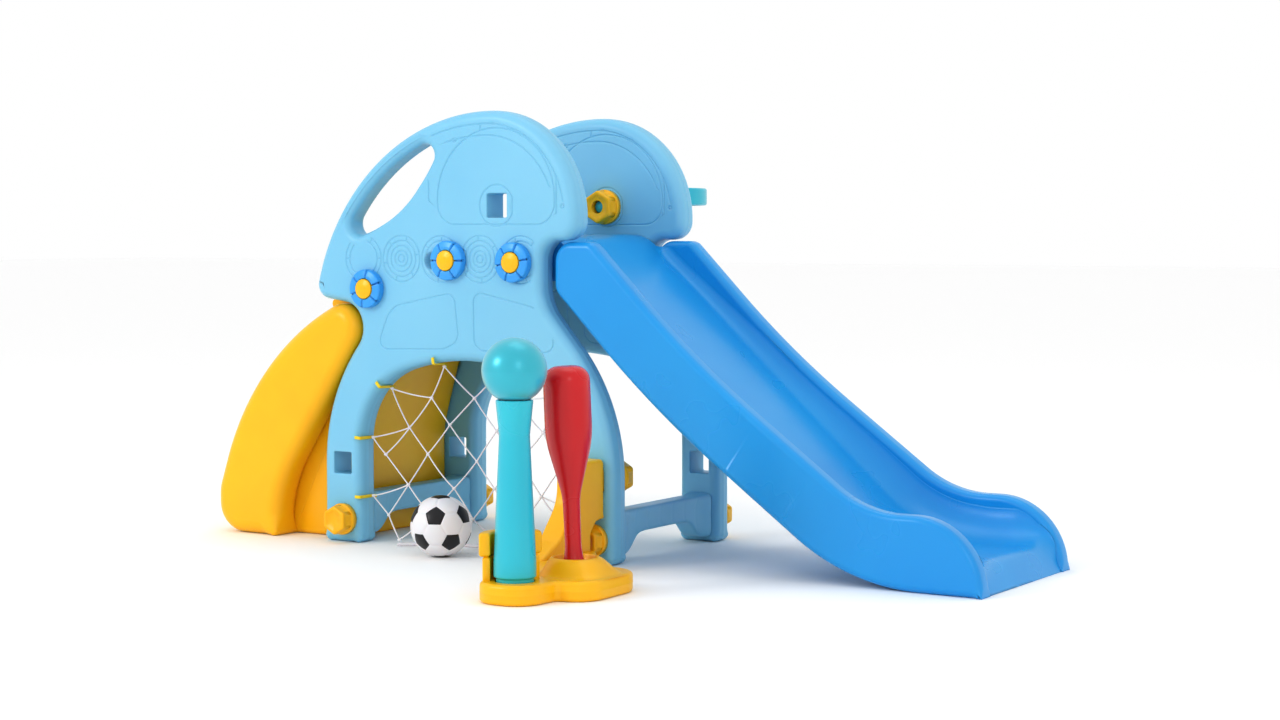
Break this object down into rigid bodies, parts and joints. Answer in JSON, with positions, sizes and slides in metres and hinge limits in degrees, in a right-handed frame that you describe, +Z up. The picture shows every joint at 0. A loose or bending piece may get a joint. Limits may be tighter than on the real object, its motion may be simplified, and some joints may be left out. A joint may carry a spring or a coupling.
{
  "type": "toddler slide",
  "caption": "Small plastic play slide with a ladder, side panels with a goal net, a hoop, and a ball tee with a bat.",
  "frame": {"origin": "middle of the whole set's box, on the floor", "axes": "+X along the slide towards its foot, +Y from the goal side to the hoop side, +Z up"},
  "size_m": [2.081, 1.4096, 1.04],
  "materials": {
    "panel": "fine satin, light blue",
    "slide": "glossy bright blue",
    "yellow": "satin yellow",
    "teal": "satin teal",
    "ball_teal": "pearly teal",
    "bat": "satin red",
    "dial_ring": "satin sky blue",
    "hook": "lemon yellow",
    "football": "white with black patches",
    "cord": "twisted white cord"
  },
  "bodies": {
    "frame": {"front_panel": "panel", "rear_panel": "panel", "slide": "slide", "ladder": "yellow", "crossbar_ladder_side": "panel", "crossbar_slide_side": "panel", "hoop": "teal", "hoop_nut": "yellow", "stand": "yellow", "stand_nut": "yellow", "goal_net": "cord", "net_foot_rope": "cord", "leg_knob_front_ladder_side": "yellow", "leg_knob_front_slide_side": "yellow", "dial_front_ladder_ring": "dial_ring", "dial_front_ladder_bolt": "yellow", "dial_front_platform_ring": "dial_ring", "dial_front_platform_bolt": "yellow", "dial_front_slide_ring": "dial_ring", "dial_front_slide_bolt": "yellow", "leg_knob_rear_ladder_side": "yellow", "leg_knob_rear_slide_side": "yellow", "dial_rear_ladder_ring": "dial_ring", "dial_rear_ladder_bolt": "yellow", "dial_rear_platform_ring": "dial_ring", "dial_rear_platform_bolt": "yellow", "dial_rear_slide_ring": "dial_ring", "dial_rear_slide_bolt": "yellow", "net_hook_ladder_low": "hook", "net_hook_ladder_high": "hook", "net_hook_ladder_corner": "hook", "net_hook_top_ladder": "hook", "net_hook_top_slide": "hook", "net_hook_slide_corner": "hook", "net_hook_slide_high": "hook", "net_hook_slide_low": "hook"},
    "tee_post": {"tee_post": "teal"},
    "tee_ball": {"tee_ball": "ball_teal"},
    "bat": {"bat": "bat"},
    "football": {"football": "football"}
  },
  "joints": [
    {"name": "tee_post_lift", "type": "slide", "parent": "frame", "child": "tee_post", "axis": [0, 0, 1], "range_m": [0, 0.08]},
    {"name": "tee_ball_lift", "type": "slide", "parent": "tee_post", "child": "tee_ball", "axis": [0, 0, 1], "range_m": [0, 0.1]},
    {"name": "bat_lift", "type": "slide", "parent": "frame", "child": "bat", "axis": [-0.0325, -0.0203, 0.9993], "range_m": [0, 0.12]},
    {"name": "football_roll_out", "type": "slide", "parent": "frame", "child": "football", "axis": [0, -1, 0], "range_m": [0, 0.4]}
  ]
}
